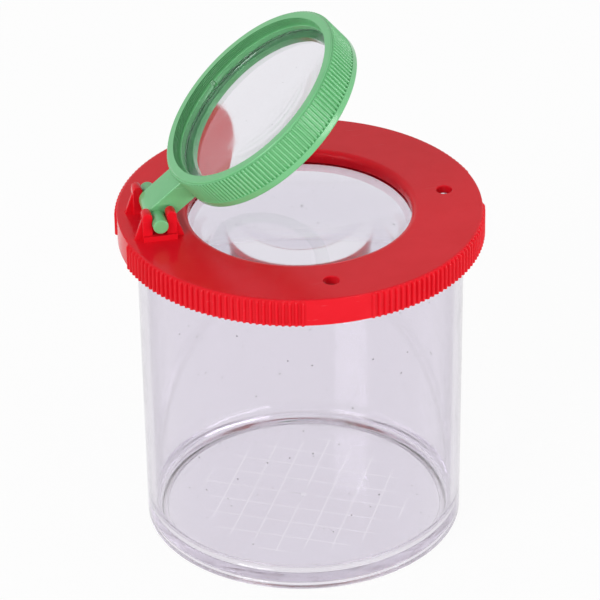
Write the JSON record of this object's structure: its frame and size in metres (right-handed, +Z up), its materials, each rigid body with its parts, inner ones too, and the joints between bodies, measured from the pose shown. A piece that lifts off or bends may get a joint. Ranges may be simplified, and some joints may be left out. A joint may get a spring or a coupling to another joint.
{
  "type": "bug catcher jar",
  "caption": "Clear round jar with a vented twist-on lid that holds a lens and carries a flip-up magnifier on a snap-in hinge, for catching and viewing insects.",
  "frame": {"origin": "middle of the jar's foot, on the surface that it stands on", "axes": "+Z up along the jar's axis, hinge of the magnifier on the -X side with its pin along Y"},
  "size_m": [0.0692, 0.0692, 0.1046],
  "materials": {
    "clear_jar": "clear moulded polystyrene, glossy",
    "red_plastic": "red moulded polystyrene, satin top with fine scuffs",
    "green_plastic": "green moulded plastic, satin",
    "clear_lens": "clear moulded acrylic, polished"
  },
  "bodies": {
    "jar": {"jar": "clear_jar"},
    "lid_lens": {"lid_lens": "clear_lens"},
    "lid": {"lid": "red_plastic", "lid_lens_ring": "red_plastic"},
    "magnifier": {"magnifier_frame": "green_plastic", "magnifier_lens": "clear_lens", "magnifier_lens_ring": "green_plastic"}
  },
  "joints": [
    {"name": "lid_lift", "type": "slide", "parent": "jar", "child": "lid_lens", "axis": [0, 0, 1], "range_m": [0, 0.06]},
    {"name": "lid_turn", "type": "hinge", "parent": "lid_lens", "child": "lid", "pos_m": [0, 0, 0.067], "axis": [0, 0, 1], "range_deg": [-45, 0]},
    {"name": "magnifier_flip", "type": "hinge", "parent": "lid", "child": "magnifier", "pos_m": [-0.0279, 0, 0.07034], "axis": [0, -1, 0], "range_deg": [-39.94, 140.06]}
  ]
}
